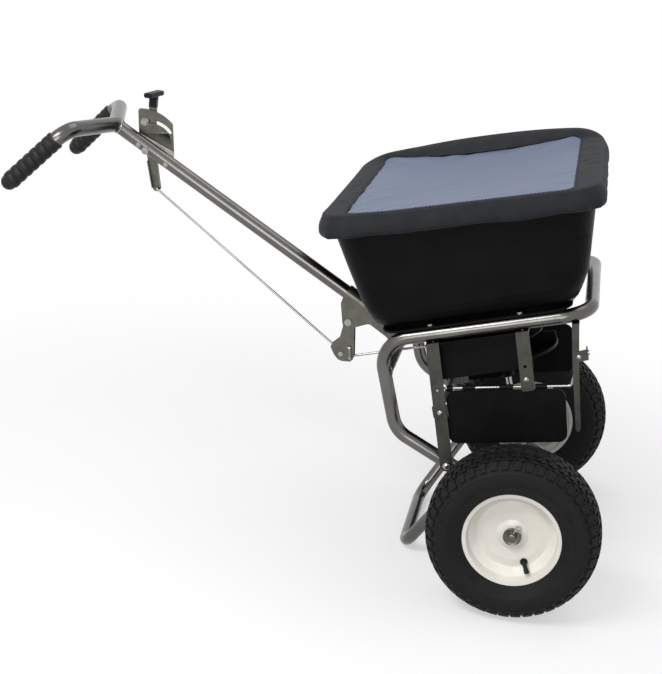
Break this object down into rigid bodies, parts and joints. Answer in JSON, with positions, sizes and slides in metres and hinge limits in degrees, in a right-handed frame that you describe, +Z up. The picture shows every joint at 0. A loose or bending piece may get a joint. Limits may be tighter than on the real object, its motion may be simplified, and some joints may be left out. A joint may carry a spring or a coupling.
{
  "type": "broadcast spreader",
  "caption": "Walk-behind broadcast spreader: black hopper with rain cover on a bent tube frame, air-tyred wheels, geared impeller, lever-worked shutter and side deflectors.",
  "frame": {"origin": "centre of the object's footprint box on the ground", "axes": "+X forward, the way it is pushed, from the handlebar to the wheels; +Y to the operator's left along the axle; +Z up, as it stands on its wheels and its rest"},
  "size_m": [1.2364, 0.757, 0.8568],
  "materials": {
    "stainless_tube": "satin polished stainless tube",
    "stainless_plate": "brushed stainless strip and plate",
    "bright_fastener": "bright stainless fasteners",
    "bright_rod": "drawn stainless rod and sheet",
    "black_poly": "moulded black polyethylene, fine grain",
    "knob_plastic": "moulded black knob",
    "cover_cloth": "coated woven cloth, near black",
    "cover_film": "soft clear film, bluish",
    "tyre_rubber": "black tyre rubber",
    "valve_rubber": "black rubber valve stem",
    "grip_rubber": "soft black ribbed grip",
    "rim_paint": "cream gloss paint on steel",
    "nylon": "white nylon",
    "gear_steel": "sintered steel, oiled",
    "gearcase_alloy": "die-cast alloy, as cast",
    "grey_block": "light grey moulded block",
    "dark_clevis": "black oxide steel"
  },
  "bodies": {
    "chassis": {"frame_hoop": "stainless_tube", "rear_cross_tube": "stainless_tube", "stand_tube": "stainless_tube", "rear_straps": "stainless_plate", "short_straps": "stainless_plate", "front_hanger": "stainless_plate", "axle_plates": "stainless_plate", "axle_bushes": "nylon", "hopper": "black_poly", "floor_plate": "black_poly", "impeller_shroud": "black_poly", "deflector_rods": "bright_rod", "rod_clips": "stainless_plate", "frame_bolts": "bright_fastener", "cross_stay": "stainless_plate", "steady_block": "grey_block", "steady_arm": "black_poly", "handle_tube": "stainless_tube", "saddle_bracket": "stainless_plate", "saddle_bolts": "bright_fastener", "handlebar": "stainless_tube", "right_grip": "grip_rubber", "left_grip": "grip_rubber", "gauge_plate": "stainless_plate", "gauge_bolts": "bright_fastener", "gearcase_right": "gearcase_alloy", "gearcase_left": "gearcase_alloy", "gearcase_screws": "bright_fastener", "shaft_bushes": "nylon"},
    "hand_lever": {"lever": "stainless_plate", "lever_knob": "knob_plastic"},
    "rate_stop": {"stop_knob": "bright_fastener"},
    "upper_link": {"upper_rod": "bright_rod", "upper_clevis": "dark_clevis"},
    "bell_arm": {"swing_arm": "stainless_plate", "arm_pins": "bright_fastener"},
    "lower_link": {"lower_rod": "bright_rod"},
    "shutter_slide_body": {"shutter": "bright_rod"},
    "deflector_right": {"right_deflector": "black_poly"},
    "deflector_left": {"left_deflector": "black_poly"},
    "drive_axle": {"axle": "bright_rod", "drive_gear": "gear_steel", "right_tyre": "tyre_rubber", "right_rim": "rim_paint", "right_valve": "valve_rubber", "wheel_bushes_right": "nylon", "wheel_washers": "bright_fastener", "hairpins": "bright_fastener"},
    "free_wheel": {"left_tyre": "tyre_rubber", "left_rim": "rim_paint", "left_valve": "valve_rubber", "wheel_bushes_left": "nylon"},
    "spinner": {"pinion": "gear_steel", "impeller_shaft": "bright_rod", "impeller": "black_poly", "agitator": "bright_rod"},
    "rain_cover": {"cover_fabric": "cover_cloth", "cover_window": "cover_film"}
  },
  "joints": [
    {"name": "lever_swing", "type": "hinge", "parent": "chassis", "child": "hand_lever", "pos_m": [-0.38168, 0, 0.74164], "axis": [0, 1, 0], "range_deg": [0, 25]},
    {"name": "upper_rod_swing", "type": "hinge", "parent": "hand_lever", "child": "upper_link", "pos_m": [-0.36589, 0, 0.66053], "axis": [0, 1, 0], "range_deg": [-27, 0]},
    {"name": "arm_swing", "type": "hinge", "parent": "chassis", "child": "bell_arm", "pos_m": [0.06298, 0, 0.43452], "axis": [0, 1, 0], "range_deg": [0, 24.5]},
    {"name": "lower_rod_swing", "type": "hinge", "parent": "bell_arm", "child": "lower_link", "pos_m": [0.0713, 0, 0.35588], "axis": [0, 1, 0], "range_deg": [-21, 0]},
    {"name": "shutter_slide", "type": "slide", "parent": "chassis", "child": "shutter_slide_body", "axis": [-0.9636, 0, -0.2672], "range_m": [0, 0.0315]},
    {"name": "stop_slide", "type": "hinge", "parent": "chassis", "child": "rate_stop", "pos_m": [-0.38168, 0, 0.74164], "axis": [0, 1, 0], "range_deg": [0, 62]},
    {"name": "right_deflector_swing", "type": "hinge", "parent": "chassis", "child": "deflector_right", "pos_m": [0.38636, -0.21, 0.406], "axis": [0.9867, 0, 0.1628], "range_deg": [-2.5, 60]},
    {"name": "left_deflector_swing", "type": "hinge", "parent": "chassis", "child": "deflector_left", "pos_m": [0.38636, 0.21, 0.406], "axis": [0.9867, 0, 0.1628], "range_deg": [-60, 2.5]},
    {"name": "axle_spin", "type": "hinge", "parent": "chassis", "child": "drive_axle", "pos_m": [0.4532, 0, 0.165], "axis": [0, 1, 0], "continuous": true},
    {"name": "left_wheel_spin", "type": "hinge", "parent": "drive_axle", "child": "free_wheel", "pos_m": [0.4532, 0.3165, 0.165], "axis": [0, 1, 0], "continuous": true},
    {"name": "impeller_spin", "type": "hinge", "parent": "chassis", "child": "spinner", "pos_m": [0.39975, 0, 0.35773], "axis": [-0.2672, 0, 0.9636], "continuous": true},
    {"name": "cover_lift", "type": "slide", "parent": "chassis", "child": "rain_cover", "axis": [-0.2672, 0, 0.9636], "range_m": [0, 0.12]}
  ],
  "couplings": [
    {"joint": "upper_rod_swing", "follows": "lever_swing", "ratio": -1.0546},
    {"joint": "arm_swing", "follows": "lever_swing", "ratio": 0.961},
    {"joint": "lower_rod_swing", "follows": "lever_swing", "ratio": -0.8297},
    {"joint": "shutter_slide", "follows": "lever_swing", "m_per_rad": 0.07176},
    {"joint": "impeller_spin", "follows": "axle_spin", "ratio": -3}
  ]
}
